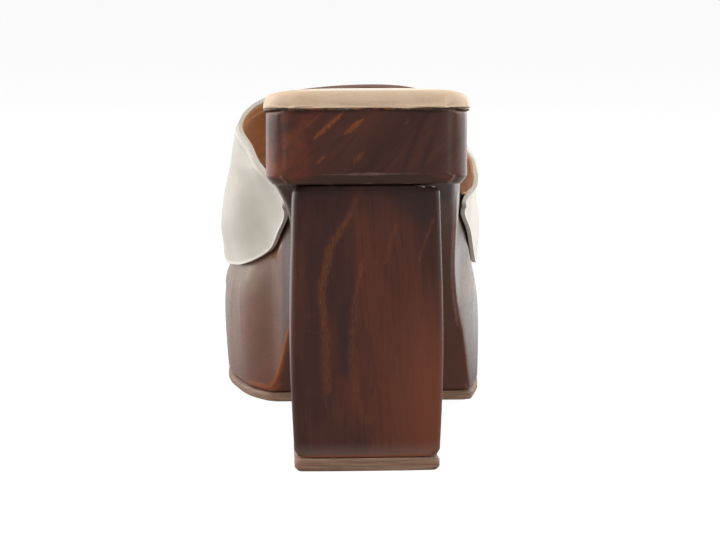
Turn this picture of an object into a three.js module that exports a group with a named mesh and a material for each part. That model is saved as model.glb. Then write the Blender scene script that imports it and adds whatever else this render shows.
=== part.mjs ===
// Right clog sandal: a carved wooden platform on a block heel, with one wide leather band over the foot.
// Millimetres, +Z up, the toe towards +Y and the inner (medial) side of the foot towards -X.
import * as THREE from 'three';

// Wooden sole, seen from above. Half widths are measured from the middle line of the seat.
const soleLength = 246;
const seatWidth = 66;
const waistMedial = 21;
const waistLateral = 38;
const ballMedial = 43.9;
const ballLateral = 53.8;
const toeMiddle = 2;
const toeSquareness = 2.3;
const toeFrom = 0.8;
const seatCorner = 11;

// Wooden sole, seen from the side.
const seatHeight = 119.7;
const seatThickness = 24.6;
const ballHeight = 53;
const toeSpring = 8;
const rimRound = 3.4;
const edgeChamfer = 1.3;
const topRound = 1.2;
const seatTuck = 1;
const waistPlace = 0.25;
const platformTuckMedial = 2.2;
const platformTuckLateral = 0.66;
const platformFrom = 0.563;

// Rubber parts and the insole.
const outsoleThickness = 3.4;
const outsoleEdge = 0.6;
const topPieceThickness = 4.3;
const insoleSeat = 6.4;
const insoleBall = 4.4;
const insoleOverhang = 0.9;
const insoleBackRound = 5;
const insoleCrown = 5;
const insoleTuck = 0.22;
const insoleThinFrom = 0.6;

// Block heel.
const heelWidth = 47.9;
const heelBelly = 2.6;
const heelBellyPlace = 1.3;
const heelDepthTop = 54;
const heelDepthBottom = 47;
const heelInset = 6;
const heelNarrowing = 1.4;
const heelLean = 0.3;
const heelCorner = 2.2;

// Leather band. Its ends lie in shallow recesses of the wood.
const bandWall = 2.3;
const bandRecess = 3.6;
const bandSink = 20;
const bevelDrop = 12;
const recessStep = 1.4;
const bandBackLow = 86;
const bandFrontLow = 202;
const bandBackTop = 164;
const bandFrontTop = 211;
const bandInstep = 59.3;
const bandToe = 31;
const bandFall = 0.9;
const bandSweep = 0.09;
const bandSpreadFrom = 0.35;
const bandSpread = 11;
const bandCrest = 9;
const medialSquareness = 4;
const lateralSquareness = 2.8;
const medialDroop = 1.6;

// Clearance between pieces that touch.
const gap = 0.3;

const widths = {
  seat: { medial: seatWidth / 2, lateral: seatWidth / 2 },
  waist: { medial: waistMedial, lateral: waistLateral },
  ball: { medial: ballMedial, lateral: ballLateral },
};

// Outline of the wood from above. along is a share of the sole's length, and medial and lateral are shares
// of the half widths named by their row.
const planRows = [
  { along: 0, of: 'seat', medial: 1, lateral: 1 },
  { along: 0.106, of: 'seat', medial: 0.965, lateral: 1.01 },
  { along: 0.207, of: 'seat', medial: 0.84, lateral: 1.05 },
  { along: 0.317, of: 'waist', medial: 1.09, lateral: 0.97 },
  { along: 0.39, of: 'waist', medial: 1, lateral: 1 },
  { along: 0.451, of: 'waist', medial: 1, lateral: 1.06 },
  { along: 0.504, of: 'ball', medial: 0.545, lateral: 0.82 },
  { along: 0.545, of: 'ball', medial: 0.615, lateral: 0.868 },
  { along: 0.581, of: 'ball', medial: 0.75, lateral: 0.908 },
  { along: 0.618, of: 'ball', medial: 0.855, lateral: 0.943 },
  { along: 0.667, of: 'ball', medial: 0.92, lateral: 0.98 },
  { along: 0.748, of: 'ball', medial: 0.99, lateral: 1 },
  { along: 0.797, of: 'ball', medial: 1, lateral: 0.985 },
  { along: 0.898, of: 'ball', medial: 0.95, lateral: 0.94 },
  { along: 1, of: 'ball', medial: 0.88, lateral: 0.86 },
];

// Side profile. top runs from the ball's height (0) to the seat's (1), under from the top of the outsole (0)
// to the underside of the seat (1), and spring is a share of the toe spring.
const topRows = [
  { along: 0, top: 1 },
  { along: 0.106, top: 0.957 },
  { along: 0.207, top: 0.889 },
  { along: 0.309, top: 0.75 },
  { along: 0.411, top: 0.532 },
  { along: 0.512, top: 0.292 },
  { along: 0.614, top: 0.105 },
  { along: 0.715, top: 0.015 },
  { along: 0.797, top: 0 },
  { along: 1, top: 0 },
];
const underRows = [
  { along: 0, under: 1 },
  { along: 0.126, under: 0.964 },
  { along: 0.22, under: 0.881 },
  { along: 0.276, under: 0.806 },
  { along: 0.337, under: 0.692 },
  { along: 0.394, under: 0.556 },
  { along: 0.443, under: 0.418 },
  { along: 0.486, under: 0.282 },
  { along: 0.52, under: 0.15 },
  { along: 0.55, under: 0.03 },
  { along: platformFrom, under: 0 },
  { along: 1, under: 0 },
];
const springRows = [
  { along: 0, spring: 0 },
  { along: 0.8, spring: 0 },
  { along: 0.87, spring: 0.14 },
  { along: 0.94, spring: 0.5 },
  { along: 1, spring: 1 },
];

// Band against the wood. along is a share of the band's lower edge from back to front. sink is how deep the
// lower edge lies below the top of the wood, and bevel how far the carved bevel reaches below that edge.
// recess is how deep the flank is let in, and medial and lateral are how far the band stands out from it
// higher up, as shares of the band's spread.
const bandRows = [
  { along: -0.1, sink: 1, bevel: 0, recess: 0, medial: 0, lateral: 0.1 },
  { along: 0, sink: 1, bevel: 0, recess: 0, medial: 0.05, lateral: 0.1 },
  { along: 0.14, sink: 0.72, bevel: 0, recess: 0.02, medial: 0.36, lateral: 0.16 },
  { along: 0.28, sink: 0.5, bevel: 0.05, recess: 0.15, medial: 0.6, lateral: 0.02 },
  { along: 0.43, sink: 0.56, bevel: 0.3, recess: 0.6, medial: 0.68, lateral: 0.03 },
  { along: 0.58, sink: 0.49, bevel: 0.63, recess: 0.9, medial: 0.42, lateral: 0.1 },
  { along: 0.73, sink: 0.37, bevel: 1, recess: 1, medial: 0.33, lateral: 0.14 },
  { along: 0.86, sink: 0.35, bevel: 1, recess: 1, medial: 0.2, lateral: 0.14 },
  { along: 1, sink: 0.35, bevel: 0.8, recess: 1, medial: 0.1, lateral: 0.08 },
  { along: 1.08, sink: 0.35, bevel: 0.4, recess: 1, medial: 0, lateral: 0 },
  { along: 1.2, sink: 0.35, bevel: 0, recess: 0, medial: 0, lateral: 0 },
];

const blend = (from, to, share) => from + (to - from) * share;
const ease = (share) => {
  const t = Math.min(1, Math.max(0, share));
  return t * t * (3 - 2 * t);
};

// A smooth curve through a table's rows that never swings past them. pick takes a row to its value.
function curveThrough(rows, pick) {
  const at = rows.map((row) => row.along);
  const value = rows.map(pick);
  const rise = at.slice(1).map((a, i) => (value[i + 1] - value[i]) / (a - at[i]));
  const slope = value.map((_, i) => {
    if (i === 0) return rise[0];
    if (i === value.length - 1) return rise[i - 1];
    if (rise[i - 1] * rise[i] <= 0) return 0;
    return (2 * rise[i - 1] * rise[i]) / (rise[i - 1] + rise[i]);
  });
  return (along) => {
    const x = Math.min(at[at.length - 1], Math.max(at[0], along));
    const i = Math.min(rise.length - 1, Math.max(0, at.findIndex((a) => a >= x) - 1));
    const span = at[i + 1] - at[i];
    const t = (x - at[i]) / span;
    const bend = t * t * (3 - 2 * t);
    const lift = t * (1 - t);
    return blend(value[i], value[i + 1], bend) + span * lift * (slope[i] * (1 - t) - slope[i + 1] * t);
  };
}

// Half widths of the wood, without its recesses. side is -1 on the medial side and 1 on the lateral.
const planCurve = {
  '-1': curveThrough(planRows, (row) => row.medial * widths[row.of].medial),
  1: curveThrough(planRows, (row) => row.lateral * widths[row.of].lateral),
};
const toeStart = toeFrom * soleLength;
function outline(side, y) {
  let x = side * planCurve[side](y / soleLength);
  const intoCorner = 1 - y / seatCorner;
  if (intoCorner > 0) x -= side * seatCorner * (1 - Math.sqrt(1 - intoCorner ** 2));
  const intoToe = (y - toeStart) / (soleLength - toeStart);
  if (intoToe > 0) x = toeMiddle + (x - toeMiddle) * (1 - intoToe ** toeSquareness) ** (1 / toeSquareness);
  return x;
}

const topCurve = curveThrough(topRows, (row) => row.top);
const underCurve = curveThrough(underRows, (row) => row.under);
const springCurve = curveThrough(springRows, (row) => row.spring);
const spring = (y) => toeSpring * springCurve(y / soleLength);
const platformBase = outsoleThickness + gap;
const woodTop = (y) => blend(ballHeight, seatHeight, topCurve(y / soleLength)) + spring(y);
const woodUnder = (y) => blend(platformBase, seatHeight - seatThickness, underCurve(y / soleLength)) + spring(y);

const bandAlong = (y) => (y - bandBackLow) / (bandFrontLow - bandBackLow);
const bandCurve = (column) => curveThrough(bandRows, (row) => row[column]);
const sinkCurve = bandCurve('sink');
const bevelCurve = bandCurve('bevel');
const recessCurve = bandCurve('recess');
const spreadCurve = { '-1': bandCurve('medial'), 1: bandCurve('lateral') };
const recess = (y) => bandRecess * recessCurve(bandAlong(y));
const bandLow = (y) => woodTop(y) - bandSink * sinkCurve(bandAlong(y));
const bevelLow = (y) => bandLow(y) - gap - recessStep - bevelDrop * bevelCurve(bandAlong(y));
const flank = (side, y) => outline(side, y) - side * recess(y);

// A closed solid through rings of points, all rings with as many points. Each end is closed by a strip
// between the two halves of its ring.
function loft(rings) {
  const count = rings[0].length;
  const points = rings.flat();
  const faces = [];
  for (let r = 0; r + 1 < rings.length; r += 1) {
    for (let i = 0; i < count; i += 1) {
      const a = r * count + i;
      const b = r * count + ((i + 1) % count);
      faces.push([a, b, b + count], [a, b + count, a + count]);
    }
  }
  const last = (rings.length - 1) * count;
  for (let i = 0; i + 1 < count / 2; i += 1) {
    const j = count - 1 - i;
    faces.push([i, j, j - 1], [i, j - 1, i + 1]);
    faces.push([last + i, last + j - 1, last + j], [last + i, last + i + 1, last + j - 1]);
  }
  return solid(points, faces);
}

// A mesh geometry from points and triangles, turned inside out if its volume comes out negative.
function solid(points, faces) {
  let volume = 0;
  for (const [a, b, c] of faces) {
    volume += points[a].dot(new THREE.Vector3().crossVectors(points[b], points[c]));
  }
  const turned = volume < 0 ? faces.map(([a, b, c]) => [a, c, b]) : faces;
  const geometry = new THREE.BufferGeometry().setFromPoints(points);
  geometry.setIndex(turned.flat());
  geometry.computeVertexNormals();
  return geometry;
}

// Places along the sole, close together where its outline turns: at the seat's corners and at the toe. The
// last one lies just short of the toe's very tip, where the outline still has some width.
const quarter = Math.PI / 2;
const cornerSteps = 5;
const toeSteps = 11;
const toePlace = (i) => blend(toeStart, soleLength, Math.sin((i / (toeSteps + 0.25)) * quarter));
const toeTip = toePlace(toeSteps);
const platformBack = platformFrom * soleLength;
function stations(from, to, step) {
  const places = [];
  for (let i = 0; i <= cornerSteps; i += 1) places.push(seatCorner * (1 - Math.cos((i / cornerSteps) * quarter)));
  for (let y = seatCorner + step; y < toeStart - step / 2; y += step) places.push(y);
  for (let i = 0; i <= toeSteps; i += 1) places.push(toePlace(i));
  const inside = places.filter((y) => y > from + step / 4 && y < to - step / 4);
  return [from, ...inside, to];
}
const platformTuck = { '-1': platformTuckMedial, 1: platformTuckLateral };

// Wooden sole: each ring is a section across it, up one flank, over the footbed and down the other.
function woodenSole() {
  const half = (side, y) => {
    const rim = 1 - y / rimRound;
    const low = woodUnder(y) + (rim > 0 ? rimRound * (1 - Math.sqrt(1 - rim ** 2)) : 0);
    const high = woodTop(y);
    const wide = outline(side, y);
    const inner = flank(side, y);
    const tuckFrom = ease((y / soleLength - waistPlace) / (2 * waistPlace));
    const tuck = side * blend(seatTuck, platformTuck[side], tuckFrom);
    const bevel = Math.max(low + 2 * edgeChamfer, bevelLow(y));
    const step = Math.max(bevel + recessStep / 2, bandLow(y) - gap);
    return [
      [wide - tuck - side * edgeChamfer, low],
      [wide - tuck, low + edgeChamfer],
      [wide, bevel],
      [inner, step],
      [inner, high - topRound],
      [inner - side * topRound, high],
    ].map(([x, z]) => new THREE.Vector3(x, y, z));
  };
  const places = [...stations(0, platformBack, 4), ...stations(platformBack, toeTip, 4).slice(1)];
  return loft(places.map((y) => [...half(-1, y), ...half(1, y).reverse()]));
}

// Rubber sole under the platform. It follows the wood's underside and its outline.
function forefootOutsole() {
  const half = (side, y) => {
    const x = outline(side, y) - side * platformTuck[side];
    const low = spring(y);
    return [
      [x - side * outsoleEdge, low],
      [x, low + outsoleEdge],
      [x, low + outsoleThickness],
    ].map(([across, z]) => new THREE.Vector3(across, y, z));
  };
  return loft(stations(platformBack, toeTip, 6).map((y) => [...half(-1, y), ...half(1, y).reverse()]));
}

// Padded leather insole: full in the middle, rounded down to its edge. It overhangs the wood, but is tucked
// in a little where the band passes, from shortly behind the band to shortly in front of it. across is a
// share of its half width.
const insoleSection = [1, 1, 0.985, 0.94, 0.82, 0.6, 0.3];
const insoleUnderBand = { behind: -0.25, ahead: 1.2, change: 0.15 };
const insoleEdgeLift = 0.25;
const insoleBackLift = 0.3;
function insole() {
  const half = (side, y) => {
    const { behind, ahead, change } = insoleUnderBand;
    const intoBand = ease((bandAlong(y) - behind) / change) * ease((ahead - bandAlong(y)) / change);
    const toWood = Math.max(gap, Math.min(y, toeTip));
    const seated = side * blend(insoleOverhang, -insoleTuck, intoBand);
    const wide = flank(side, toWood) + seated;
    const middle = y > toeStart ? toeMiddle : 0;
    const low = woodTop(toWood) + gap;
    const backwards = Math.max(0, 1 - (y + insoleOverhang) / insoleBackRound);
    const thick = blend(insoleSeat, insoleBall, ease(y / soleLength / insoleThinFrom));
    const full = thick * Math.max(insoleBackLift, (1 - backwards ** insoleCrown) ** (1 / insoleCrown));
    return insoleSection.map((across, i) => {
      const lift = i === 0 ? 0 : Math.max(insoleEdgeLift, (1 - across ** insoleCrown) ** (1 / insoleCrown));
      return new THREE.Vector3(blend(middle, wide, across), y, low + full * lift);
    });
  };
  const places = stations(0, toeTip, 7).slice(1, -1);
  const back = [-insoleOverhang, -insoleOverhang / 4, insoleOverhang];
  return loft([...back, ...places, toeTip - gap].map((y) => [...half(-1, y), ...half(1, y).reverse()]));
}

// Plan of the block heel at a height share: its sides swell towards the floor, then draw in again.
function heelPlan(share) {
  const wide = heelWidth / 2 + (heelBelly / 2) * Math.sin(Math.PI * (1 - share) ** heelBellyPlace);
  const deep = blend(heelDepthBottom, heelDepthTop, share);
  const half = [];
  for (let i = 0; i <= 3; i += 1) {
    const angle = (i / 3) * quarter;
    half.push([wide - heelCorner * (1 - Math.sin(angle)), heelCorner * (1 - Math.cos(angle))]);
  }
  for (let i = 1; i <= 6; i += 1) {
    const along = i / 6;
    half.push([wide - heelNarrowing * along, blend(heelCorner, deep - heelCorner, along)]);
  }
  for (let i = 1; i <= 3; i += 1) {
    const angle = (i / 3) * quarter;
    const narrow = wide - heelNarrowing;
    half.push([narrow - heelCorner * (1 - Math.cos(angle)), deep - heelCorner * (1 - Math.sin(angle))]);
  }
  return half.map(([x, y]) => [x, heelInset + y]);
}

// A solid with the heel's plan between two height shares. low and high give the height at each point.
function heelSolid(shares, low, high) {
  const rings = shares.map((share, level) => {
    const climb = level / (shares.length - 1);
    const lean = heelLean * (1 - share);
    const side = (sign) => heelPlan(share).map(([x, y]) => (
      new THREE.Vector3(sign * x + lean, y, blend(low(y), high(y), climb))
    ));
    return [...side(-1), ...side(1).reverse()];
  });
  return loft(rings);
}

// A hump that is 0 at both ends and reaches 1 at two thirds of the way.
const lateHump = (share) => (27 / 4) * share * share * (1 - share);

// Leather band: a point for a share from back to front and a height share up one side. depth is how far
// the point lies under the band's outer face. Each rib climbs forwards, sweeps further forwards halfway, and droops a little on
// the medial shoulder.
function bandPoint(side, along, up, depth) {
  const square = side < 0 ? medialSquareness : lateralSquareness;
  const footY = blend(bandBackLow, bandFrontLow, along);
  const crownY = blend(bandBackTop, bandFrontTop, along);
  const crownZ = woodTop(crownY) + blend(bandInstep, bandToe, along ** bandFall) - depth;
  const y = blend(footY, crownY, up + bandSweep * Math.sin(Math.PI * up) * (1 - along));
  const out = (1 - up ** square) ** (1 / square);
  const droop = side < 0 ? medialDroop * lateHump(out) : 0;
  const z = blend(bandLow(footY), crownZ, up) - droop;
  const flare = Math.hypot(1, (flank(side, y + 1) - flank(side, y - 1)) / 2);
  const seated = flank(side, y) + side * (gap + bandWall - depth) * flare;
  const wide = seated + side * bandSpread * spreadCurve[side](bandAlong(y)) * ease(up / bandSpreadFrom);
  return new THREE.Vector3(blend(bandCrest, wide, out), y, z);
}

// The places of one rib, from the medial wood over the foot to the lateral wood, evenly spaced on it.
function ribPlaces(along, count) {
  const fine = [];
  const steps = 160;
  for (let i = 0; i <= steps; i += 1) fine.push({ side: -1, up: Math.sin((i / steps) * quarter) });
  for (let i = steps - 1; i >= 0; i -= 1) fine.push({ side: 1, up: fine[i].up });
  const points = fine.map(({ side, up }) => bandPoint(side, along, up, 0));
  const run = [0];
  for (let i = 1; i < fine.length; i += 1) run.push(run[i - 1] + points[i].distanceTo(points[i - 1]));
  const wanted = (k) => (run[run.length - 1] * k) / count;
  return Array.from({ length: count + 1 }, (_, k) => fine[run.findIndex((r) => r >= wanted(k) - 1e-9)]);
}

// The band has an outer face and, one wall further in, its lining, joined along all four edges.
function upperBand() {
  const across = 52;
  const lengthwise = 20;
  const rings = [];
  for (let r = 0; r <= lengthwise; r += 1) {
    const along = r / lengthwise;
    const places = ribPlaces(along, across);
    const face = (depth) => places.map(({ side, up }) => bandPoint(side, along, up, depth));
    rings.push([...face(0), ...face(bandWall).reverse()]);
  }
  return loft(rings);
}

const finishes = {
  wood: { color: 0x4a2a20, roughness: 0.45, metalness: 0 },
  rubber: { color: 0x6b5a50, roughness: 0.8, metalness: 0 },
  insoleLeather: { color: 0xc8ad94, roughness: 0.55, metalness: 0 },
  bandLeather: { color: 0xded6cb, roughness: 0.5, metalness: 0 },
};

function piece(name, geometry, finish) {
  const mesh = new THREE.Mesh(geometry, new THREE.MeshStandardMaterial(finishes[finish]));
  mesh.name = name;
  return mesh;
}

const heelFoot = topPieceThickness + gap;
const shoe = new THREE.Group();
shoe.add(
  piece('wooden_sole', woodenSole(), 'wood'),
  piece('heel_block', heelSolid([0, 0.2, 0.4, 0.6, 0.8, 1], () => heelFoot, (y) => woodUnder(y) - gap), 'wood'),
  piece('heel_top_piece', heelSolid([0, 0], () => 0, () => topPieceThickness), 'rubber'),
  piece('forefoot_outsole', forefootOutsole(), 'rubber'),
  piece('insole', insole(), 'insoleLeather'),
  piece('upper_band', upperBand(), 'bandLeather'),
);

// The finished shoe stands on the floor plane with its middle over the origin.
const box = new THREE.Box3().setFromObject(shoe);
shoe.position.set(-(box.min.x + box.max.x) / 2, -(box.min.y + box.max.y) / 2, -box.min.z);
shoe.updateMatrixWorld(true);

export default shoe;
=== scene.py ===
from math import cos, pi, radians, sin

import bpy
import numpy as np
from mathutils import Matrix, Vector, noise
from mathutils.kdtree import KDTree


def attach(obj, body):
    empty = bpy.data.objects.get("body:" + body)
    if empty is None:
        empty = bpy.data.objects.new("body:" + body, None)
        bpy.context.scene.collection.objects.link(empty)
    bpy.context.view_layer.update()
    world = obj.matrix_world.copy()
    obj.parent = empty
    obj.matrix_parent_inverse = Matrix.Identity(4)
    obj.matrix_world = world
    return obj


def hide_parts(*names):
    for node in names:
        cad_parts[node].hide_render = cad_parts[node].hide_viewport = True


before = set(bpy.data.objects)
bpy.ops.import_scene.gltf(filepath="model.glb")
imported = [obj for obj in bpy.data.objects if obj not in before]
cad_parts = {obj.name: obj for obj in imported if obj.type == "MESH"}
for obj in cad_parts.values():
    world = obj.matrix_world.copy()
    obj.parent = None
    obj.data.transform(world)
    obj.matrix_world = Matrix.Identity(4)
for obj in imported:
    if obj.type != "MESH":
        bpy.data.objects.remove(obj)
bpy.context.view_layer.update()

# The carved wooden sole
# Seat, arch and platform are one block of wood, shaped by a router, sanded along its edges, stained dark
# and waxed to a soft gloss. Its growth rings run along the shoe and cross the back wall of the seat slantwise.
MM = 0.001
SEAT_BACK = -122.54


def shaped_copy(node, name):
    """A new piece with a CAD node's surface: its loose triangles are merged and paired into quads."""
    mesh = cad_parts[node].data.copy()
    mesh.materials.clear()
    mesh.name = name
    piece = bpy.data.objects.new(name, mesh)
    bpy.context.collection.objects.link(piece)
    edit(piece)
    bpy.ops.mesh.select_all(action="SELECT")
    bpy.ops.mesh.customdata_custom_splitnormals_clear()
    bpy.ops.mesh.remove_doubles(threshold=0.01 * MM)
    bpy.ops.mesh.tris_convert_to_quads(face_threshold=radians(40), shape_threshold=radians(60))
    bpy.ops.object.mode_set(mode="OBJECT")
    return piece


def hold(piece):
    """Makes the piece the only selected and active object."""
    bpy.ops.object.select_all(action="DESELECT")
    piece.select_set(True)
    bpy.context.view_layer.objects.active = piece


def edit(piece, kind="VERT"):
    """Opens the piece in edit mode with nothing selected."""
    hold(piece)
    bpy.ops.object.mode_set(mode="EDIT")
    bpy.ops.mesh.select_mode(type=kind)
    bpy.ops.mesh.select_all(action="DESELECT")


def crease_edges(piece, angle, value):
    """Keeps the edges sharper than the angle crisp when the piece is subdivided."""
    edit(piece, "EDGE")
    bpy.ops.mesh.edges_select_sharp(sharpness=radians(angle))
    bpy.ops.transform.edge_crease(value=value)
    bpy.ops.object.mode_set(mode="OBJECT")


def modify(piece, kind, **settings):
    """Adds a modifier with these settings and applies it."""
    hold(piece)
    modifier = piece.modifiers.new(kind.capitalize(), kind)
    for name, value in settings.items():
        setattr(modifier, name, value)
    bpy.ops.object.modifier_apply(modifier=modifier.name)


def smooth(piece, levels=0):
    """Subdivides the piece and shades it smooth."""
    if levels:
        modify(piece, "SUBSURF", levels=levels, render_levels=levels)
    hold(piece)
    bpy.ops.object.shade_smooth()


def points_of(piece):
    """The piece's vertices in millimetres, one row each."""
    flat = np.empty(len(piece.data.vertices) * 3)
    piece.data.vertices.foreach_get("co", flat)
    return flat.reshape(-1, 3) / MM


def move_points(piece, points):
    """Puts the piece's vertices at these places in millimetres."""
    piece.data.vertices.foreach_set("co", (points * MM).ravel())
    piece.data.update()


def normals_of(piece):
    """The direction that each vertex faces, one row each."""
    flat = np.empty(len(piece.data.vertices) * 3)
    piece.data.vertices.foreach_get("normal", flat)
    return flat.reshape(-1, 3)


def mark(piece, name, values):
    """Stores one number per vertex under a name that the piece's material reads."""
    attribute = piece.data.attributes.new(name, "FLOAT", "POINT")
    attribute.data.foreach_set("value", np.asarray(values, dtype=np.float32))


def ramp(values, low, high):
    """Goes smoothly from 0 at low to 1 at high."""
    share = np.clip((values - low) / (high - low), 0, 1)
    return share * share * (3 - 2 * share)


def from_lines(spots, lines, steps=12):
    """How far each place lies from the nearest of these lines, in millimetres."""
    tree = KDTree(sum(len(line) - 1 for line in lines) * steps)
    for line in lines:
        for a, b in zip(line, line[1:]):
            for i in range(steps):
                tree.insert(Vector(a).lerp(Vector(b), i / steps), 0)
    tree.balance()
    return np.array([tree.find(Vector(spot))[2] for spot in spots])


def profile(spots, slices, reach, pick):
    """The height that pick takes from the spots within reach of each slice, carried over to every spot."""
    heights = [pick(spots[np.abs(spots[:, 1] - y) < reach][:, 2]) for y in slices]
    return np.interp(spots[:, 1], slices, heights)


def sharp_lines(piece, angle):
    """The edges sharper than the angle, each as a line of two places in millimetres."""
    edit(piece, "EDGE")
    bpy.ops.mesh.edges_select_sharp(sharpness=radians(angle))
    bpy.ops.object.mode_set(mode="OBJECT")
    spots = points_of(piece)
    return [[spots[v] for v in edge.vertices] for edge in piece.data.edges if edge.select]


def add(tree, kind, inputs=None, **settings):
    """Adds a shader node, sets its choices, and sets or links its inputs."""
    node = tree.nodes.new(kind)
    for name, value in settings.items():
        setattr(node, name, value)
    for name, value in (inputs or {}).items():
        if isinstance(value, bpy.types.NodeSocket):
            tree.links.new(value, node.inputs[name])
        else:
            node.inputs[name].default_value = value
    return node


def maths(tree, operation, first, second=0.0, third=0.0):
    """A Math node's result."""
    return add(tree, "ShaderNodeMath", {0: first, 1: second, 2: third}, operation=operation).outputs[0]


def between(tree, value, low, high, start=0.0, end=1.0):
    """Goes smoothly from start where the value is low to end where it is high."""
    inputs = {"Value": value, "From Min": low, "From Max": high, "To Min": start, "To Max": end}
    return add(tree, "ShaderNodeMapRange", inputs, interpolation_type="SMOOTHSTEP").outputs["Result"]


def mixed(tree, share, first, second):
    """The first colour, covered with the second by the share."""
    return add(tree, "ShaderNodeMix", {0: share, 6: first, 7: second}, data_type="RGBA").outputs[2]


def product(tree, first, *others):
    """The masks and strengths multiplied together."""
    for other in others:
        first = maths(tree, "MULTIPLY", first, other)
    return first


def covered(tree, base, tone, *masks):
    """The base colour, covered with the tone as far as all the masks and strengths allow."""
    return mixed(tree, product(tree, *masks), base, tone)


def colour(red, green, blue):
    """A screen colour, 0 to 255, as a shader's linear colour."""
    values = [channel / 255 for channel in (red, green, blue)]
    return (*[v / 12.92 if v <= 0.04045 else ((v + 0.055) / 1.055) ** 2.4 for v in values], 1.0)


def speckle(tree, where, stretch, detail=3.0, roughness=0.55, distortion=0.0):
    """Noise whose grains are 1 / stretch millimetres long on each axis."""
    place = add(tree, "ShaderNodeVectorMath", {0: where, 1: stretch}, operation="MULTIPLY").outputs[0]
    inputs = {"Vector": place, "Scale": 1.0, "Detail": detail}
    inputs |= {"Roughness": roughness, "Distortion": distortion}
    return add(tree, "ShaderNodeTexNoise", inputs).outputs["Fac"]


def new_group(name, inputs, outputs):
    """A shader node group with these sockets, its tree, its inputs and its output node."""
    tree = bpy.data.node_groups.new(name, "ShaderNodeTree")
    for label, kind in inputs.items():
        tree.interface.new_socket(name=label, in_out="INPUT", socket_type="NodeSocket" + kind)
    for label, kind in outputs.items():
        tree.interface.new_socket(name=label, in_out="OUTPUT", socket_type="NodeSocket" + kind)
    return tree, tree.nodes.new("NodeGroupInput").outputs, tree.nodes.new("NodeGroupOutput").inputs


def new_material(name):
    """A material, its tree, its Principled shader, and the place on the piece in millimetres."""
    material = bpy.data.materials.new(name)
    material.use_nodes = True
    tree = material.node_tree
    shader = tree.nodes["Principled BSDF"]
    place = add(tree, "ShaderNodeTexCoord").outputs["Object"]
    where = add(tree, "ShaderNodeVectorMath", {0: place, 3: 1 / MM}, operation="SCALE").outputs[0]
    return material, tree, shader, where


def relief(tree, shader, height, depth):
    """Gives the shader a relief of this depth in millimetres."""
    inputs = {"Height": height, "Distance": depth * MM, "Strength": 1.0}
    tree.links.new(add(tree, "ShaderNodeBump", inputs).outputs["Normal"], shader.inputs["Normal"])


def attribute(tree, name):
    """A number that mark() stored on the piece."""
    return add(tree, "ShaderNodeAttribute", attribute_name=name).outputs["Fac"]


def axes(tree, place):
    """The X, Y and Z of a place or a direction."""
    parts = add(tree, "ShaderNodeSeparateXYZ", {0: place}).outputs
    return parts["X"], parts["Y"], parts["Z"]


def facing_axes(tree):
    """The X, Y and Z of the direction that the surface faces."""
    return axes(tree, add(tree, "ShaderNodeNewGeometry").outputs["Normal"])


def vector(tree, operation, first, second):
    """A Vector Math node's results."""
    return add(tree, "ShaderNodeVectorMath", {0: first, 1: second}, operation=operation).outputs


# Figure of the wood, in a space where x crosses the growth rings and z runs along the grain.
RINGS = 34.0
figure, given, result = new_group(
    "wood_figure", {"Where": "Vector"}, {"Tone": "Float", "Ring": "Float", "Pore": "Float"}
)
figure.links.new(speckle(figure, given["Where"], (0.075, 0.03, 0.011), 5.0, 0.6, 0.4), result["Tone"])
bands = speckle(figure, given["Where"], (0.2, 0.05, 0.012), 3.0, 0.5, 0.2)
wave = maths(figure, "SINE", maths(figure, "MULTIPLY", bands, RINGS))
figure.links.new(between(figure, wave, 0.55, 1.0), result["Ring"])
pores = speckle(figure, given["Where"], (2.6, 1.6, 0.12), 2.0, 0.6)
figure.links.new(between(figure, pores, 0.56, 0.72), result["Pore"])

# One streak of lighter wood between two points, soft at its edge. Taper 1 draws its ends out to nothing.
streak, given, result = new_group(
    "wood_streak",
    {"Where": "Vector", "Start": "Vector", "End": "Vector", "Width": "Float", "Taper": "Float"},
    {"Mask": "Float"},
)
reach = vector(streak, "SUBTRACT", given["End"], given["Start"])[0]
offset = vector(streak, "SUBTRACT", given["Where"], given["Start"])[0]
along = maths(
    streak, "DIVIDE", vector(streak, "DOT_PRODUCT", offset, reach)["Value"],
    vector(streak, "DOT_PRODUCT", reach, reach)["Value"],
)
along = add(streak, "ShaderNodeClamp", {"Value": along}).outputs[0]
nearest = add(streak, "ShaderNodeVectorMath", {0: reach, 3: along}, operation="SCALE").outputs[0]
away = vector(streak, "DISTANCE", offset, nearest)["Value"]
swell = product(streak, between(streak, along, 0.0, 0.4), between(streak, along, 1.0, 0.6))
swell = maths(streak, "SUBTRACT", swell, 1.0)
swell = maths(streak, "MULTIPLY_ADD", swell, given["Taper"], 1.0)
share = maths(streak, "DIVIDE", away, maths(streak, "MULTIPLY_ADD", given["Width"], swell, 0.02))
soft_side = between(streak, share, 0.1, 1.0, 1.0, 0.0)
streak.links.new(product(streak, soft_side, between(streak, swell, 0.0, 0.4)), result["Mask"])

# The waxed surface of both woods: paler rubbed edges, part real wear and part painted highlight, fine level
# tool marks and pores.
waxed, given, result = new_group(
    "waxed_wood",
    {"Where": "Vector", "Rim": "Float", "Pore": "Float", "Worn": "Float", "Width": "Float"},
    {"RubbedAndHighlight": "Float", "Height": "Float", "Roughness": "Float"},
)
patchy = between(waxed, speckle(waxed, given["Where"], (0.3, 0.3, 0.3), 3.0, 0.6), 0.3, 0.6, 0.4, 1.0)
at_rim = between(waxed, given["Rim"], given["Width"], 0.1)
waxed.links.new(product(waxed, at_rim, patchy, given["Worn"]), result["RubbedAndHighlight"])
tooled = speckle(waxed, given["Where"], (0.25, 0.25, 3.0), 3.0, 0.6)
height = maths(waxed, "SUBTRACT", product(waxed, tooled, 0.5), product(waxed, given["Pore"], 0.4))
waxed.links.new(height, result["Height"])
waxed.links.new(between(waxed, tooled, 0.2, 0.8, 0.4, 0.52), result["Roughness"])


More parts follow.
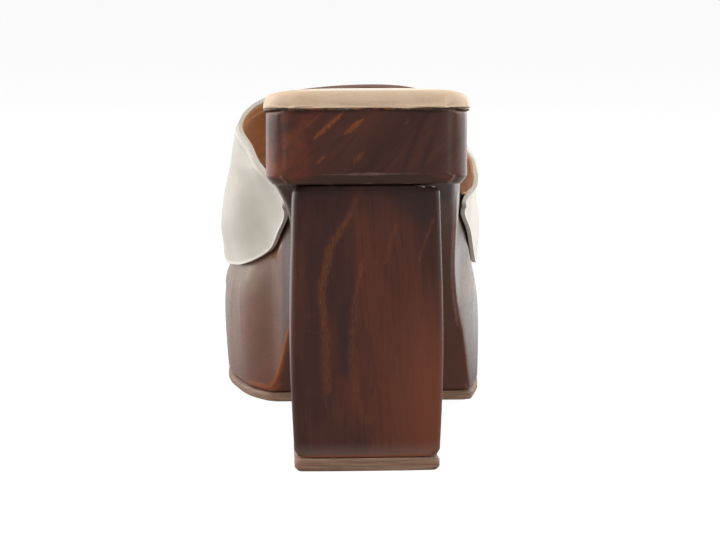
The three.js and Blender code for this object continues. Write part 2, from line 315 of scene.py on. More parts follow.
def streaks(tree, where, rows, back, taper=0.0):
    """All streaks of a table on a wall at this depth. A row is x, z, x, z, width and strength."""
    stray = speckle(tree, where, (0.45, 0.45, 0.45), 3.0, 0.6)
    stray = add(tree, "ShaderNodeCombineXYZ", {0: maths(tree, "MULTIPLY_ADD", stray, 1.6, -0.8)}).outputs[0]
    where = vector(tree, "ADD", where, stray)[0]
    total = 0.0
    for x_1, z_1, x_2, z_2, width, strength in rows:
        inputs = {"Where": where, "Start": (x_1, back, z_1), "End": (x_2, back, z_2)}
        inputs |= {"Width": width, "Taper": taper}
        mask = add(tree, "ShaderNodeGroup", inputs, node_tree=streak).outputs["Mask"]
        total = maths(tree, "MAXIMUM", maths(tree, "MULTIPLY", mask, strength), total)
    return total


def stained_wood(name, turn, dark, light):
    """Stained wood. turn brings the growth rings across x and the grain along z."""
    material, tree, shader, where = new_material(name)
    turned = add(tree, "ShaderNodeMapping", {"Vector": where, "Rotation": turn}).outputs[0]
    grain = add(tree, "ShaderNodeGroup", {"Where": turned}, node_tree=figure).outputs
    base = mixed(tree, between(tree, grain["Tone"], 0.3, 0.72), dark, light)
    base = covered(tree, base, colour(38, 19, 15), grain["Ring"], 0.22)
    base = covered(tree, base, colour(30, 15, 12), grain["Pore"], 0.36)
    return material, tree, shader, where, grain["Pore"], base


def wax(tree, shader, where, pore, base, worn, width, rubbed_and_highlight_tone):
    """Rubbed edges of this width in millimetres, part real wear and part painted highlight, tool marks and a
    soft waxed gloss.
    """
    inputs = {"Where": where, "Rim": attribute(tree, "from_rim"), "Pore": pore, "Worn": worn, "Width": width}
    surface = add(tree, "ShaderNodeGroup", inputs, node_tree=waxed).outputs
    tree.links.new(mixed(tree, surface["RubbedAndHighlight"], base, rubbed_and_highlight_tone), shader.inputs["Base Color"])
    tree.links.new(surface["Roughness"], shader.inputs["Roughness"])
    relief(tree, shader, surface["Height"], 0.035)
    shader.inputs["Coat Weight"].default_value = 0.22
    shader.inputs["Coat Roughness"].default_value = 0.22
    shader.inputs["Specular IOR Level"].default_value = 0.24


SOLE_SHARP = 28
SOLE_SLICES = 120
SOLE_SLICE_REACH = 2.2
wooden_sole = shaped_copy("wooden_sole", "carved_wooden_sole")
rims = sharp_lines(wooden_sole, SOLE_SHARP)
crease_edges(wooden_sole, SOLE_SHARP, value=0.8)
smooth(wooden_sole, levels=3)
spots = points_of(wooden_sole)
mark(wooden_sole, "from_rim", from_lines(spots, rims))

# The hand-carved part of the flanks: what faces a little upwards, but lies well below the top of the wood.
slices = np.linspace(spots[:, 1].min(), spots[:, 1].max(), SOLE_SLICES)
below_top = profile(spots, slices, SOLE_SLICE_REACH, np.max) - spots[:, 2]
carved = ramp(normals_of(wooden_sole)[:, 2], 0.08, 0.35) * ramp(below_top, 2.0, 4.0)
mark(wooden_sole, "carved", carved)

sole_wood, tree, shader, where, pore, base = stained_wood(
    "stained_sole_wood", (0.0, radians(-45), 0.0), colour(62, 31, 23), colour(92, 48, 34)
)
SEAT_STREAKS = [
    (-29.0, 109.5, -17.5, 120.6, 0.8, 1.0),
    (-26.0, 106.3, -10.0, 120.9, 1.15, 1.0),
    (-13.4, 110.4, -5.0, 117.4, 1.3, 1.0),
    (-22.6, 100.6, -16.8, 106.2, 0.9, 0.6),
    (-10.0, 101.0, -5.5, 106.4, 1.3, 0.35),
    (-31.0, 111.0, -24.5, 119.0, 0.6, 0.6),
    (-31.5, 107.6, -26.5, 113.4, 0.55, 0.5),
    (6.5, 113.5, 9.5, 117.5, 0.9, 0.25),
]
SEAT_SHADES = [
    (6.2, 98.5, 11.2, 111.0, 1.6, 0.55),
    (11.2, 111.0, 14.5, 118.0, 1.6, 0.45),
    (13.0, 101.0, 18.6, 116.5, 1.7, 0.6),
    (-4.0, 99.0, -1.0, 108.0, 2.6, 0.35),
]
# Where an effect of the sole's colour begins and where it is full, in millimetres on one axis of the shoe.
RED_CORNER_X, RED_CORNER_Y = (-20.0, -31.0), (-100.0, -112.0)
SIDE_LIGHT_Y = (-80.0, -30.0)
ARCH_SHADE_X, ARCH_SHADE_Z = (-28.4, -27.2), (80.0, 68.0)
UNDER_SEAT_SHADE_Z = (50.0, 80.0)
RECESS_X, RECESS_Y = (34.5, 39.0), (78.0, 60.0)
RECESS_FOOT_Z, RECESS_HEAD_Z = (37.0, 43.0), (56.0, 52.0)
ARCH_WALL_X, ARCH_WALL_Y = (-30.0, -28.0), (-72.0, -64.0)
SEAT_WALL_Y = (-112.0, -121.0)
LIT_ARCH_X, LIT_ARCH_Z = (5.0, -5.0), (42.0, 26.0)

# Light streaks and dark shades across the back wall of the seat.
dashes = speckle(tree, where, (4.2, 0.6, 0.6), 2.0, 0.6)
marks = streaks(tree, where, SEAT_STREAKS, SEAT_BACK, taper=1.0)
base = covered(tree, base, colour(150, 80, 34), marks, between(tree, dashes, 0.36, 0.6, 0.35, 1.0))
base = covered(tree, base, colour(38, 18, 18), streaks(tree, where, SEAT_SHADES, SEAT_BACK))

# Redder stain at the medial corner, a lighter tan where faces tilt a little upwards below the top, and painted
# light on the flanks that face sideways.
x, y, z = axes(tree, where)
facing_x, facing_y, facing_z = facing_axes(tree)
cloud = speckle(tree, where, (0.12, 0.12, 0.12), 3.0, 0.6)
red_corner = product(tree, between(tree, x, *RED_CORNER_X), between(tree, cloud, 0.35, 0.65))
base = covered(tree, base, colour(132, 60, 32), red_corner, between(tree, y, *RED_CORNER_Y), 0.8)
base = covered(tree, base, colour(124, 98, 70), attribute(tree, "carved"), 0.6)
# Painted light: the flanks that face sideways are lighter and warmer.
painted_side_light = between(tree, maths(tree, "ABSOLUTE", facing_x), 0.6, 0.95, 0.0, 0.36)
base = covered(tree, base, colour(124, 78, 52), painted_side_light, between(tree, y, *SIDE_LIGHT_Y))

# Painted shade at the side of the arch and on the faces that turn down under the seat, an olive tan in the
# recesses and a warm brown on the arch's wall.
# Painted shade: darker at the side of the arch and on the faces that turn down under the seat.
arch_side_shade = product(tree, between(tree, x, *ARCH_SHADE_X), between(tree, z, *ARCH_SHADE_Z))
base = covered(tree, base, colour(50, 24, 15), arch_side_shade, 0.8)
downward_shade = between(tree, facing_z, -0.2, -0.5, 0.0, 0.7)
base = covered(tree, base, colour(66, 44, 30), downward_shade, between(tree, z, *UNDER_SEAT_SHADE_Z))
recess = product(
    tree, between(tree, z, *RECESS_FOOT_Z), between(tree, z, *RECESS_HEAD_Z), between(tree, y, *RECESS_Y),
    between(tree, maths(tree, "ABSOLUTE", x), *RECESS_X), between(tree, cloud, 0.3, 0.6, 0.35, 0.75),
)
base = covered(tree, base, colour(104, 80, 48), recess)
backwards = between(tree, facing_y, -0.25, -0.55)
arch_wall = product(tree, backwards, between(tree, y, *ARCH_WALL_Y), between(tree, x, *ARCH_WALL_X))
base = covered(tree, base, colour(100, 55, 36), arch_wall, 0.7)
base = covered(tree, base, colour(38, 17, 11), between(tree, y, *SEAT_WALL_Y), 0.3)

# Orange along the low medial edge of the arch.
arch_back = between(tree, facing_y, -0.1, -0.4)
lit_arch = product(tree, between(tree, z, *LIT_ARCH_Z), arch_back, between(tree, x, *LIT_ARCH_X))
warm_edge = product(
    tree, between(tree, attribute(tree, "from_rim"), 2.0, 0.5), between(tree, facing_y, -0.2, -0.5),
    lit_arch, between(tree, facing_x, 0.6, 0.2),
)
base = covered(tree, base, colour(150, 78, 34), warm_edge, 0.6)
# The sole's paler rubbed edges are part real wear and part painted highlight, orange on the low arch edge.
rubbed_and_highlight_tone = mixed(tree, lit_arch, colour(150, 116, 106), colour(160, 84, 38))
wax(tree, shader, where, pore, base, worn=0.45, width=0.9, rubbed_and_highlight_tone=rubbed_and_highlight_tone)
wooden_sole.data.materials.append(sole_wood)
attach(wooden_sole, "root")
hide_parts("wooden_sole")

# The block heel
# Heel of the same wood, cut with its grain upright, so that its back shows a flame of lighter figure. It is
# glued and screwed up under the seat, with a fine dark joint, and its corners are only just eased.
HEEL_BACK = -116.54
heel_block = shaped_copy("heel_block", "block_heel")
rims = sharp_lines(heel_block, angle=50)
crease_edges(heel_block, angle=40, value=0.92)
smooth(heel_block, levels=3)
mark(heel_block, "from_rim", from_lines(points_of(heel_block), rims))
heel_wood, tree, shader, where, pore, base = stained_wood(
    "stained_heel_wood", (0.0, radians(4), 0.0), colour(56, 27, 21), colour(84, 41, 29)
)
HEEL_STREAKS = [
    (-6.7, 92.8, -10.3, 84.6, 1.5, 0.55),
    (-10.3, 84.6, -16.8, 73.2, 1.9, 0.75),
    (-16.8, 73.2, -19.4, 60.1, 2.2, 0.8),
    (-19.4, 60.1, -18.1, 43.6, 2.2, 0.75),
    (-18.1, 43.6, -17.5, 27.1, 2.4, 0.6),
    (-6.0, 69.2, -8.6, 56.7, 1.1, 0.5),
    (-8.6, 56.7, -9.3, 40.3, 1.9, 0.5),
    (-9.3, 40.3, -8.0, 23.7, 2.8, 0.45),
    (-8.0, 23.7, -5.0, 17.0, 3.0, 0.4),
    (5.0, 81.2, 1.5, 69.1, 1.2, 0.4),
    (17.1, 82.8, 14.8, 76.9, 1.0, 0.45),
    (14.8, 76.9, 12.6, 69.7, 1.0, 0.4),
    (-27.6, 51.6, -22.7, 51.6, 0.35, 0.25),
    (-26.9, 47.0, -18.4, 45.6, 0.3, 0.25),
]
HEEL_SHADES = [
    # The first row is a painted shadow of the seat on the top of the heel.
    (6.0, 93.0, 14.0, 86.0, 8.0, 0.5),
    (-11.9, 53.5, -12.4, 33.7, 3.6, 0.55),
    (-21.8, 22.5, -21.2, 18.0, 4.0, 0.4),
    (-14.0, 88.0, -22.0, 70.0, 2.4, 0.35),
]
# Where an effect of the heel's colour begins and where it is full, in millimetres on one axis of the shoe.
GLOW_X, GLOW_Z = (-6.0, 18.0), (74.0, 20.0)
PALE_FOOT_Z = (10.5, 4.0)
SEAT_SHADOW_Z = (80.0, 94.0)
LIT_EDGE_X, LIT_EDGE_Z = (10.0, 14.0), (7.0, 10.0)
SAWN_EDGE_Z = (5.7, 5.1)

dashes = speckle(tree, where, (3.4, 0.6, 0.42), 3.0, 0.65)
marks = streaks(tree, where, HEEL_STREAKS, HEEL_BACK)
base = covered(tree, base, colour(40, 26, 30), streaks(tree, where, HEEL_SHADES, HEEL_BACK))
base = covered(tree, base, colour(118, 64, 32), marks, between(tree, dashes, 0.34, 0.66, 0.1, 0.85))

# A warm glow low on the lateral half, a pale foot, a painted shadow of the seat over the head, a painted
# highlight along the lateral edges, and light orange along the lowest edge.
x, _, z = axes(tree, where)
glow = product(tree, between(tree, x, *GLOW_X), between(tree, z, *GLOW_Z))
base = covered(tree, base, colour(134, 68, 38), glow, 0.5)
base = covered(tree, base, colour(118, 98, 90), between(tree, z, *PALE_FOOT_Z), 0.5)
# Painted shadow of the seat over the heel's head.
base = covered(tree, base, colour(34, 17, 15), between(tree, z, *SEAT_SHADOW_Z), 0.5)
at_rim = between(tree, attribute(tree, "from_rim"), 1.1, 0.5)
lit_edge = product(tree, at_rim, between(tree, x, *LIT_EDGE_X), between(tree, z, *LIT_EDGE_Z))
base = covered(tree, base, colour(236, 226, 224), lit_edge, 0.9)
base = covered(tree, base, colour(122, 62, 26), between(tree, z, *SAWN_EDGE_Z), 0.8)
# The heel's near-white rubbed edges are mostly painted highlight, with some real wear.
wax(tree, shader, where, pore, base, worn=0.85, width=0.42, rubbed_and_highlight_tone=colour(206, 192, 190))
heel_block.data.materials.append(heel_wood)
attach(heel_block, "root")
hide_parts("heel_block")

# The rubber lift and the forefoot sole
# Hard rubber sheet, glued on and ground flush with the wood after it dried. The grinding leaves fine level
# lines on the edges, and the faces that meet the floor have a shallow moulded rib pattern.
RIB_SPACING = 2.992

def ground_rubber(name, dark, light):
    """Grey-brown rubber with ground edges and a ribbed underside."""
    material, tree, shader, where = new_material(name)
    lines = speckle(tree, where, (0.08, 0.08, 4.0), 3.0, 0.7)
    dust = speckle(tree, where, (0.3, 0.3, 0.6), 4.0, 0.6)
    base = mixed(tree, between(tree, lines, 0.3, 0.7), dark, light)
    base = covered(tree, base, colour(150, 132, 118), between(tree, dust, 0.5, 0.8), 0.4)
    tree.links.new(base, shader.inputs["Base Color"])
    _, y, _ = axes(tree, where)
    _, _, facing_z = facing_axes(tree)
    rib = maths(tree, "SINE", maths(tree, "MULTIPLY", y, 2 * pi / RIB_SPACING))
    ribs = product(tree, between(tree, rib, -0.4, 0.4), between(tree, facing_z, -0.9, -0.98))
    relief(tree, shader, maths(tree, "ADD", ribs, maths(tree, "MULTIPLY", lines, 0.2)), 0.12)
    shader.inputs["Roughness"].default_value = 0.62
    return material


rubber = ground_rubber("ground_rubber", colour(104, 74, 57), colour(146, 113, 90))
for node, name in (("heel_top_piece", "rubber_heel_lift"), ("forefoot_outsole", "rubber_forefoot_sole")):
    piece = shaped_copy(node, name)
    crease_edges(piece, angle=40, value=0.92)
    smooth(piece, levels=2)
    piece.data.materials.append(rubber)
    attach(piece, "root")
    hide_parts(node)

# The padded insole
# A thin foam footbed covered in smooth beige leather that is drawn over its edge and cemented to the wood.
# Its back edge is full and rounded, and the leather is a little puckered along the bottom of that edge.
INSOLE_BACK = -95.0
ROUNDED_ABOVE = 119.8
ROUNDED_BLEND = (120.1, 121.5)
PUCKER = 0.22
RAGGED = 0.5
PUCKER_HEIGHT = 2.6
PUCKER_FRONT = 60.0
INSOLE_SLICES = 100
INSOLE_SLICE_REACH = 2.6
CREST_HIGHLIGHT_Y, CREST_HIGHLIGHT_Z = (-112.0, -118.0), (125.2, 125.9)


def soften(piece, chosen, factor, repeat):
    """Evens out the chosen vertices, as a hand with a slicker would."""
    edit(piece)
    bpy.ops.object.mode_set(mode="OBJECT")
    for vertex, wanted in zip(piece.data.vertices, chosen):
        vertex.select = bool(wanted)
    bpy.ops.object.mode_set(mode="EDIT")
    bpy.ops.mesh.vertices_smooth(factor=factor, repeat=repeat)
    bpy.ops.object.mode_set(mode="OBJECT")


insole = shaped_copy("insole", "padded_insole")
crease_edges(insole, angle=55, value=0.8)
smooth(insole, levels=3)
spots = points_of(insole)
soften(insole, (spots[:, 1] < INSOLE_BACK) & (spots[:, 2] > ROUNDED_ABOVE), factor=0.5, repeat=40)
kept = (1 - ramp(spots[:, 2], *ROUNDED_BLEND))[:, None]
spots = spots * kept + points_of(insole) * (1 - kept)

# The leather's pucker and its ragged lower edge, along the back and the sides.
slices = np.linspace(spots[:, 1].min(), spots[:, 1].max(), INSOLE_SLICES)
rise = spots[:, 2] - profile(spots, slices, INSOLE_SLICE_REACH, np.min)
facing = normals_of(insole)
for i, spot in enumerate(spots):
    pucker = noise.noise(Vector((spot[0] * 0.55, spot[1] * 0.55, 3.0)))
    ragged = noise.noise(Vector((spot[0] * 1.9, spot[1] * 1.9, 9.0)))
    low = max(0.0, 1 - rise[i] / PUCKER_HEIGHT) * (spot[1] < PUCKER_FRONT)
    spot += facing[i] * (PUCKER * pucker * low)
    spot[2] += RAGGED * ragged * low * low
move_points(insole, spots)

# Pebble grain, cloudy colour and fine relief of all the leathers. Size says how many pebbles fit a millimetre.
leather_grain, given, result = new_group(
    "leather_grain",
    {"Where": "Vector", "Size": "Float"},
    {"Pebble": "Float", "Cloud": "Float", "Height": "Float"},
)
cells = add(
    leather_grain, "ShaderNodeTexVoronoi",
    {"Vector": given["Where"], "Scale": given["Size"], "Randomness": 1.0}, feature="SMOOTH_F1",
).outputs["Distance"]
pebble = between(leather_grain, cells, 0.1, 0.75)
cloud = speckle(leather_grain, given["Where"], (0.09, 0.09, 0.09), 4.0, 0.55)
fine = speckle(leather_grain, given["Where"], (1.1, 1.1, 1.1), 3.0, 0.6)
height = maths(leather_grain, "SUBTRACT", maths(leather_grain, "MULTIPLY", fine, 0.6), pebble)
for socket, value in (("Pebble", pebble), ("Cloud", cloud), ("Height", height)):
    leather_grain.links.new(value, result[socket])


def leather(name, size, pale, deep, depth, roughness):
    """Smooth dyed leather with a fine pebble grain and cloudy colour."""
    material, tree, shader, where = new_material(name)
    grain = add(tree, "ShaderNodeGroup", {"Where": where, "Size": size}, node_tree=leather_grain).outputs
    base = mixed(tree, between(tree, grain["Cloud"], 0.25, 0.75), pale, deep)
    base = covered(tree, base, colour(120, 96, 76), between(tree, grain["Pebble"], 0.5, 1.0), 0.05)
    relief(tree, shader, grain["Height"], depth)
    shader.inputs["Roughness"].default_value = roughness
    return material, tree, shader, where, base


insole_leather, tree, shader, where, base = leather(
    "beige_insole_leather", size=1.5, pale=colour(202, 176, 147), deep=colour(194, 166, 137),
    depth=0.02, roughness=0.46,
)
_, y, z = axes(tree, where)
# Faint upright streaks of painted shade, standing in for creases in the leather.
crease_shade = speckle(tree, where, (0.5, 0.5, 0.05), 3.0, 0.6)
base = covered(tree, base, colour(186, 154, 126), between(tree, crease_shade, 0.55, 0.8), 0.25)
# Painted highlight along the crest of the insole's back edge.
crest_highlight = product(tree, between(tree, z, *CREST_HIGHLIGHT_Z), between(tree, y, *CREST_HIGHLIGHT_Y))
base = covered(tree, base, colour(240, 228, 212), crest_highlight, 0.7)
tree.links.new(base, shader.inputs["Base Color"])
insole.data.materials.append(insole_leather)
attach(insole, "root")
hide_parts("insole")

# The cement under the insole
# Contact cement that squeezed out all round between the insole and the wood and dried to a thin, uneven,
# dark amber bead. It shows as a ragged line under the insole's edge.
BEAD_RADIUS = 0.42
BEAD_INSET = 0.62
BEAD_DROP = 0.3
BEAD_DRIP = 0.6
BEAD_WANDER = 0.15
LOW_EDGE = 1.2
LOW_EDGE_REACH = 4.5
bead = shaped_copy("insole", "insole_cement")
spots = points_of(bead)
facing = normals_of(bead)[:, :2]
facing /= np.maximum(np.linalg.norm(facing, axis=1), 1e-6)[:, None]
spots[:, :2] -= facing * BEAD_INSET
move_points(bead, spots)

# Only the sharp edge along the insole's underside stays, and the bead runs along it.
edit(bead, "EDGE")
bpy.ops.mesh.edges_select_sharp(sharpness=radians(55))
bpy.ops.object.mode_set(mode="OBJECT")
spots = points_of(bead)
rise = spots[:, 2] - profile(spots, slices, LOW_EDGE_REACH, np.min)
for edge in bead.data.edges:
    if any(rise[v] > LOW_EDGE for v in edge.vertices):
        edge.select = False
bpy.ops.object.mode_set(mode="EDIT")
bpy.ops.mesh.select_all(action="INVERT")
bpy.ops.mesh.delete(type="EDGE_FACE")
bpy.ops.mesh.select_all(action="SELECT")
bpy.ops.mesh.delete_loose(use_verts=True, use_edges=False, use_faces=False)
bpy.ops.mesh.select_all(action="SELECT")
bpy.ops.mesh.subdivide(number_cuts=5)
bpy.ops.object.mode_set(mode="OBJECT")
bpy.ops.object.convert(target="CURVE")
bead.data.bevel_depth = BEAD_RADIUS * MM
bead.data.bevel_resolution = 2
bead.data.use_fill_caps = True
bpy.ops.object.convert(target="MESH")
spots = points_of(bead)
for spot in spots:
    drip = noise.noise(Vector((spot[0] * 1.1, spot[1] * 1.1, 2.0)))
    fine = noise.noise(Vector((spot[0] * 3.1, spot[1] * 3.1, spot[2])))
    spot[2] += BEAD_DRIP * drip - BEAD_DROP
    spot[:2] += BEAD_WANDER * fine
move_points(bead, spots)
smooth(bead)
cement, tree, shader, where = new_material("dried_cement")
lumps = speckle(tree, where, (0.5, 0.5, 0.5), 3.0, 0.6)
base = mixed(tree, between(tree, lumps, 0.42, 0.6), colour(44, 26, 18), colour(112, 62, 26))
tree.links.new(base, shader.inputs["Base Color"])
relief(tree, shader, lumps, 0.1)
shader.inputs["Roughness"].default_value = 0.35
bead.data.materials.append(cement)
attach(bead, "root")

# The leather band
# The only strap: cream leather, cut in one piece, its back and front edges turned under and pressed so that
# the fold shows as a soft ridge, and a tan lining. Its ends are cemented into the wood's carved recesses.
BAND_LEATHER = 1.5
BAND_LINING = 0.7
BAND_ROUNDING = 0.55
LINING_ROUNDING = 0.2
CORNER_REACH = 20.0
CORNER_PULL = 6.5
LINING_LIFT = 4.0
CROWN_Y = 65.0
CROWN_REACH = 5.0
LINING_DEPTH = 3.5
# How the back edge stands off a straight line on each flank. A row is the flank, 1 for lateral and -1 for
# medial, the shift along X, the heights where it comes in, and those where it dies away.
BACK_EDGE_SET = [
    (1, 3.4, (77, 84), (86, 96)),
    (1, -2.4, (90, 97), (104, 112)),
    (-1, -1.6, (80, 88), (98, 110)),
]
CROWN_EDGE_Y, CROWN_EDGE_Z = (62.0, 55.0), (110.5, 112.0)


def one_side(piece, name, seed):
    """The sheet of faces that runs on smoothly from the face nearest to the seed point."""
    sheet = bpy.data.objects.new(name, piece.data.copy())
    bpy.context.collection.objects.link(sheet)
    edit(sheet, "FACE")
    bpy.ops.object.mode_set(mode="OBJECT")
    nearest = min(sheet.data.polygons, key=lambda face: (face.center - Vector(seed)).length)
    nearest.select = True
    bpy.ops.object.mode_set(mode="EDIT")
    bpy.ops.mesh.faces_select_linked_flat(sharpness=radians(40))
    bpy.ops.mesh.select_all(action="INVERT")
    bpy.ops.mesh.delete(type="FACE")
    bpy.ops.object.mode_set(mode="OBJECT")
    return sheet


def borders(sheet):
    """The sheet's back edge, front edge, and two low ends, each a row of vertices from corner to corner."""
    uses = {}
    for face in sheet.data.polygons:
        for key in face.edge_keys:
            uses[key] = uses.get(key, 0) + 1
    neighbours = {}
    for (a, b), count in uses.items():
        if count == 1:
            neighbours.setdefault(a, []).append(b)
            neighbours.setdefault(b, []).append(a)
    place = {v: sheet.data.vertices[v].co for v in neighbours}
    corners = []
    for side in (-1, 1):
        flank = [v for v in neighbours if place[v].x * side > 0]
        corners.append(min(flank, key=lambda v: place[v].y))
        corners.append(min(flank, key=lambda v: place[v].z - place[v].y))
    walks = []
    for start in corners:
        for step in neighbours[start]:
            walk = [start, step]
            while walk[-1] not in corners:
                walk.append(next(v for v in neighbours[walk[-1]] if v != walk[-2]))
            if walk[0] < walk[-1]:
                walks.append(walk)
    walks.sort(key=lambda walk: abs(place[walk[0]].x - place[walk[-1]].x), reverse=True)
    across = sorted(walks[:2], key=lambda walk: place[walk[0]].y)
    return across + walks[2:]


def add_rows(sheet, edge, cuts):
    """Cuts the row of faces along this edge into finer rows."""
    rim = set(edge)
    edit(sheet, "EDGE")
    bpy.ops.object.mode_set(mode="OBJECT")
    for one in sheet.data.edges:
        one.select = len(rim.intersection(one.vertices)) == 1
    bpy.ops.object.mode_set(mode="EDIT")
    bpy.ops.mesh.subdivide(number_cuts=cuts)
    bpy.ops.object.mode_set(mode="OBJECT")


def ridge(distance, place, width):
    """1 at this distance from an edge, falling off softly to both sides."""
    return np.exp(-(((distance - place) / width) ** 2))


whole = shaped_copy("upper_band", "band_shell")
middle = [v.co for v in whole.data.vertices if abs(v.co.y - CROWN_Y * MM) < CROWN_REACH * MM]
crown = max(middle, key=lambda co: co.z)
band = one_side(whole, "leather_band", crown)
lining = one_side(whole, "band_lining", crown - Vector((0, 0, LINING_DEPTH * MM)))
bpy.data.objects.remove(whole)
for sheet in (band, lining):
    edges = borders(sheet)
    spots = points_of(sheet)
    lines = [[spots[v] for v in edge] for edge in edges]
    add_rows(sheet, edges[0], cuts=4)
    add_rows(sheet, edges[1], cuts=2)
    smooth(sheet, levels=2)
    spots = points_of(sheet)

    # The back edge's two low corners, drawn in to a round.
    for corner in (lines[0][0], lines[0][-1]):
        away = np.linalg.norm(spots - corner, axis=1)
        inward = spots[away < CORNER_REACH].mean(axis=0) - corner
        pull = CORNER_PULL * np.clip(1 - away / CORNER_REACH, 0, 1) ** 2
        spots += pull[:, None] * inward / np.linalg.norm(inward)
    move_points(sheet, spots)
    distance = from_lines(spots, lines[:2])
    to_back = from_lines(spots, lines[:1])
    to_end = from_lines(spots, lines[2:])
    mark(sheet, "from_edge", distance)
    mark(sheet, "from_end", to_end)

    # The set of the back edge, then the turned edge of the band or the pressed edge of the lining.
    height = spots[:, 2]
    lateral = spots[:, 0] > 0
    near_back = (1 - ramp(to_back, 0, 26)) * ramp(to_end, 1, 10)
    for side, shift, coming, going in BACK_EDGE_SET:
        share = ramp(height, *coming) * (1 - ramp(height, *going)) * near_back
        spots[:, 0] += shift * share * (lateral == (side > 0))
    move_points(sheet, spots)
    facing = normals_of(sheet)
    if sheet is band:
        turned_edge = 0.22 * (1 - ramp(distance, 3.1, 4.6)) + 0.16 * ridge(distance, 3.2, 0.55)
        turned_edge -= 0.16 * ridge(distance, 1.7, 0.6)
        uneven = 0.25 * np.array([noise.noise(Vector(spot * 0.035)) for spot in spots]) - 0.1
        spots += facing * (turned_edge + uneven)[:, None]
    else:
        pressed = 0.16 * ridge(distance, 3.4, 0.5) - 0.35 * (1 - ramp(distance, 0.0, 0.9))
        spots += facing * pressed[:, None]
        upward = np.array([0.0, 0.0, 1.0]) - facing * facing[:, 2:]
        spots += LINING_LIFT * (1 - ramp(to_end, 0, 14))[:, None] * upward
    move_points(sheet, spots)
    thickness, rounding = (BAND_LEATHER, BAND_ROUNDING) if sheet is band else (BAND_LINING, LINING_ROUNDING)
    modify(sheet, "SOLIDIFY", thickness=thickness * MM, offset=-1.0)
    modify(sheet, "BEVEL", width=rounding * MM, segments=3, limit_method="ANGLE", angle_limit=radians(60))
    smooth(sheet)
    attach(sheet, "root")
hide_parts("upper_band")

band_leather, tree, shader, where, base = leather(
    "cream_band_leather", size=1.7, pale=colour(188, 180, 168), deep=colour(182, 173, 160),
    depth=0.03, roughness=0.5,
)
_, y, z = axes(tree, where)
from_edge = attribute(tree, "from_edge")
base = covered(tree, base, colour(166, 158, 147), between(tree, from_edge, 3.2, 0.2), 0.6)
# Painted light that lifts the shaded rim at the band's low ends.
from_end = attribute(tree, "from_end")
base = covered(tree, base, colour(222, 214, 202), between(tree, from_end, 1.4, 0.5), 0.8)
crown_edge = product(
    tree, between(tree, from_edge, 1.4, 0.7), between(tree, z, *CROWN_EDGE_Z), between(tree, y, *CROWN_EDGE_Y)
)
base = covered(tree, base, colour(96, 58, 40), crown_edge)
tree.links.new(base, shader.inputs["Base Color"])
shader.inputs["Coat Weight"].default_value = 0.12
shader.inputs["Coat Roughness"].default_value = 0.4
band.data.materials.append(band_leather)

lining_leather, tree, shader, where, base = leather(
    "tan_lining_leather", size=2.2, pale=colour(178, 118, 66), deep=colour(154, 98, 54),
    depth=0.025, roughness=0.6,
)
from_edge = attribute(tree, "from_edge")
strands = speckle(tree, where, (0.5, 0.5, 0.06), 3.0, 0.6)
base = covered(tree, base, colour(132, 80, 42), between(tree, strands, 0.5, 0.75), 0.4)
glaze = product(tree, between(tree, from_edge, 2.4, 3.2), between(tree, from_edge, 4.4, 3.6))
base = covered(tree, base, colour(208, 160, 106), glaze, 0.6)
# Painted shade near the lining's low ends, where it tucks against the wood.
base = covered(tree, base, colour(58, 42, 28), between(tree, attribute(tree, "from_end"), 5.0, 3.5))
tree.links.new(base, shader.inputs["Base Color"])
lining.data.materials.append(lining_leather)

# Floor, light and camera
# A white light table: the floor glows, and for the shoe more so behind it and to its right. Narrow strips
# stand left and right of the camera, wide walls beside the shoe and soft boxes behind it, and one panel hangs
# above the camera and one overhead.
GLOW_BEHIND_Y, GLOW_BEHIND = (-20.0, 260.0), (0.24, 1.0)
GLOW_RIGHT_X, GLOW_RIGHT = (-60.0, 160.0), (1.0, 1.7)
SEEN_FLOOR = (0.9, 0.9, 0.9, 1.0)
SEEN_SKY = 0.97
bpy.ops.mesh.primitive_plane_add(size=24.0, location=(0.0, 0.0, 0.0))
floor = bpy.context.object
floor.name = "pale_floor"
paper, tree, shader, where = new_material("white_paper")
shader.inputs["Base Color"].default_value = (0.14, 0.14, 0.14, 1.0)
shader.inputs["Roughness"].default_value = 1.0
shader.inputs["Specular IOR Level"].default_value = 0.0
seen = add(tree, "ShaderNodeLightPath").outputs["Is Camera Ray"]
x, y, _ = axes(tree, where)
behind = between(tree, y, *GLOW_BEHIND_Y, *GLOW_BEHIND)
level = product(tree, behind, between(tree, x, *GLOW_RIGHT_X, *GLOW_RIGHT))
unseen_glow = add(tree, "ShaderNodeCombineXYZ", {0: level, 1: level, 2: level}).outputs[0]
glow = mixed(tree, seen, unseen_glow, SEEN_FLOOR)
tree.links.new(glow, shader.inputs["Emission Color"])
shader.inputs["Emission Strength"].default_value = 1.0
floor.data.materials.append(paper)

AIM = Vector((0.0, -0.02, 0.06))


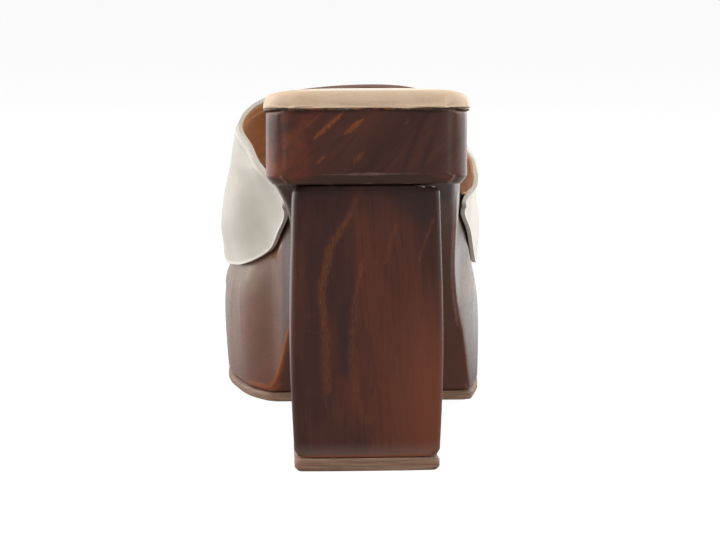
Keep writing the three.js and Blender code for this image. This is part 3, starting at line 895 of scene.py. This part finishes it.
def soft_box(name, turn, height, distance, size, power):
    """A soft box turned this many degrees to the right of the shoe's back, facing the shoe."""
    lamp = bpy.data.lights.new(name, "AREA")
    lamp.shape = "RECTANGLE"
    lamp.size, lamp.size_y = size
    lamp.energy = power
    box = bpy.data.objects.new(name, lamp)
    box.location = AIM + Vector((distance * sin(radians(turn)), -distance * cos(radians(turn)), height))
    box.rotation_euler = (AIM - box.location).to_track_quat("-Z", "Y").to_euler()
    bpy.context.collection.objects.link(box)


soft_box("left_strip", -40, 0.3, 1.4, (0.3, 1.2), 5.0)
soft_box("right_strip", 39, 0.3, 1.4, (0.3, 1.2), 5.5)
soft_box("left_wall", -98, 0.3, 1.2, (1.0, 1.2), 14.0)
soft_box("right_wall", 92, 0.3, 1.2, (1.0, 1.2), 10.0)
soft_box("right_back", 138, 0.2, 1.2, (0.5, 1.0), 5.0)
soft_box("left_back", -140, 0.2, 1.2, (0.3, 1.0), 3.0)
soft_box("front_panel", -6, 1.05, 1.1, (0.9, 0.5), 7.0)
soft_box("top_panel", 0, 1.4, 0.1, (1.1, 1.1), 10.0)

world = bpy.data.worlds.new("white_paper_room")
bpy.context.scene.world = world
world.use_nodes = True
tree = world.node_tree
sky = tree.nodes["Background"]
_, ahead, _ = axes(tree, add(tree, "ShaderNodeTexCoord").outputs["Generated"])
strength = between(tree, ahead, -0.1, 0.75, 0.08, 0.9)
seen = add(tree, "ShaderNodeLightPath").outputs["Is Camera Ray"]
strength = maths(tree, "MAXIMUM", strength, maths(tree, "MULTIPLY", seen, SEEN_SKY))
tree.links.new(strength, sky.inputs["Strength"])
sky.inputs["Color"].default_value = (1.0, 1.0, 1.0, 1.0)

lens = bpy.data.cameras.new("camera")
lens.lens = 155.0
lens.sensor_width = 36.0
lens.clip_start = 0.05
lens.clip_end = 60.0
camera = bpy.data.objects.new("camera", lens)
camera.location = (-0.06787, -1.11453, 0.2)
camera.rotation_euler = (radians(90 - 7.6), 0.0, radians(-3.5))
bpy.context.collection.objects.link(camera)
bpy.context.scene.camera = camera
bpy.context.scene.view_settings.view_transform = "Standard"
